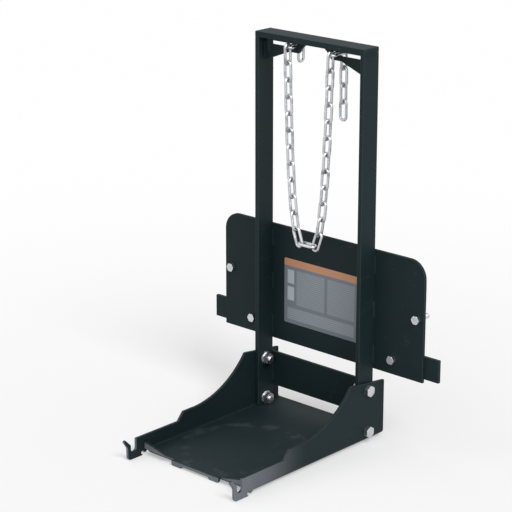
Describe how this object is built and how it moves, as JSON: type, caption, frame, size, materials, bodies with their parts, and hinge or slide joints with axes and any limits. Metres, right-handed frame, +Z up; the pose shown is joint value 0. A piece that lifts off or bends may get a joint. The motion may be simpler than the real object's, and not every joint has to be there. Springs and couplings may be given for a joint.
{
  "type": "gas cylinder bracket",
  "caption": "Bolt-on bracket that carries an upright gas cylinder: folded floor tray, welded back frame with mounting plate, and a retaining chain held in slotted gussets.",
  "frame": {"origin": "middle of the footprint's bounding box, on the surface that the front feet stand on", "axes": "+Z up, the open front of the tray and its hooks face -Y, the mounting plate is behind at +Y, +X to the right seen from the front"},
  "size_m": [0.512, 0.3909, 0.689],
  "materials": {
    "black_powder_coat": "satin black powder coat with a faint orange peel",
    "zinc_fasteners": "bright zinc plate",
    "zinc_chain": "bright zinc plate on welded links"
  },
  "bodies": {
    "frame": {"tray": "black_powder_coat", "top_bar": "black_powder_coat", "left_post": "black_powder_coat", "right_post": "black_powder_coat", "left_gusset": "black_powder_coat", "right_gusset": "black_powder_coat", "mounting_plate": "black_powder_coat", "cross_plate": "black_powder_coat", "mounting_bar": "black_powder_coat", "tray_bolt_high_left": "zinc_fasteners", "tray_bolt_high_right": "zinc_fasteners", "tray_bolt_low_left": "zinc_fasteners", "tray_bolt_low_right": "zinc_fasteners", "tray_washer_high_left": "zinc_fasteners", "tray_washer_high_right": "zinc_fasteners", "tray_washer_low_left": "zinc_fasteners", "tray_washer_low_right": "zinc_fasteners", "tray_nut_high_left": "zinc_fasteners", "tray_nut_high_right": "zinc_fasteners", "tray_nut_low_left": "zinc_fasteners", "tray_nut_low_right": "zinc_fasteners", "plate_bolt_high_left": "zinc_fasteners", "plate_bolt_high_right": "zinc_fasteners", "plate_bolt_low_left": "zinc_fasteners", "plate_bolt_low_right": "zinc_fasteners", "bar_washer_left": "zinc_fasteners", "bar_washer_right": "zinc_fasteners", "bar_nut_left": "zinc_fasteners", "bar_nut_right": "zinc_fasteners", "left_held_link": "zinc_chain", "right_held_link": "zinc_chain"},
    "chain_swag": {"swag_links": "zinc_chain"},
    "chain_end": {"end_link": "zinc_chain"},
    "chain_tail_1": {"tail_link_1": "zinc_chain"},
    "chain_tail_2": {"tail_link_2": "zinc_chain"},
    "chain_tail_3": {"tail_link_3": "zinc_chain"},
    "chain_tail_4": {"tail_link_4": "zinc_chain"}
  },
  "joints": [
    {"name": "swag_swing", "type": "hinge", "parent": "frame", "child": "chain_swag", "pos_m": [0, 0.12975, 0.66955], "axis": [-1, 0, 0], "range_deg": [-2, 88]},
    {"name": "end_link_swing", "type": "hinge", "parent": "frame", "child": "chain_end", "pos_m": [-0.0474, 0.16375, 0.66955], "axis": [1, 0, 0], "range_deg": [-15, 80]},
    {"name": "tail_link_1_swing", "type": "hinge", "parent": "frame", "child": "chain_tail_1", "pos_m": [0.0474, 0.16375, 0.66955], "axis": [1, 0, 0], "range_deg": [-1, 80]},
    {"name": "tail_link_2_swing", "type": "hinge", "parent": "chain_tail_1", "child": "chain_tail_2", "pos_m": [0.0474, 0.16375, 0.64085], "axis": [0, 1, 0], "range_deg": [-30, 30]},
    {"name": "tail_link_3_swing", "type": "hinge", "parent": "chain_tail_2", "child": "chain_tail_3", "pos_m": [0.0474, 0.16375, 0.61215], "axis": [1, 0, 0], "range_deg": [-5, 50]},
    {"name": "tail_link_4_swing", "type": "hinge", "parent": "chain_tail_3", "child": "chain_tail_4", "pos_m": [0.0474, 0.16375, 0.58345], "axis": [0, 1, 0], "range_deg": [-15, 15]}
  ]
}
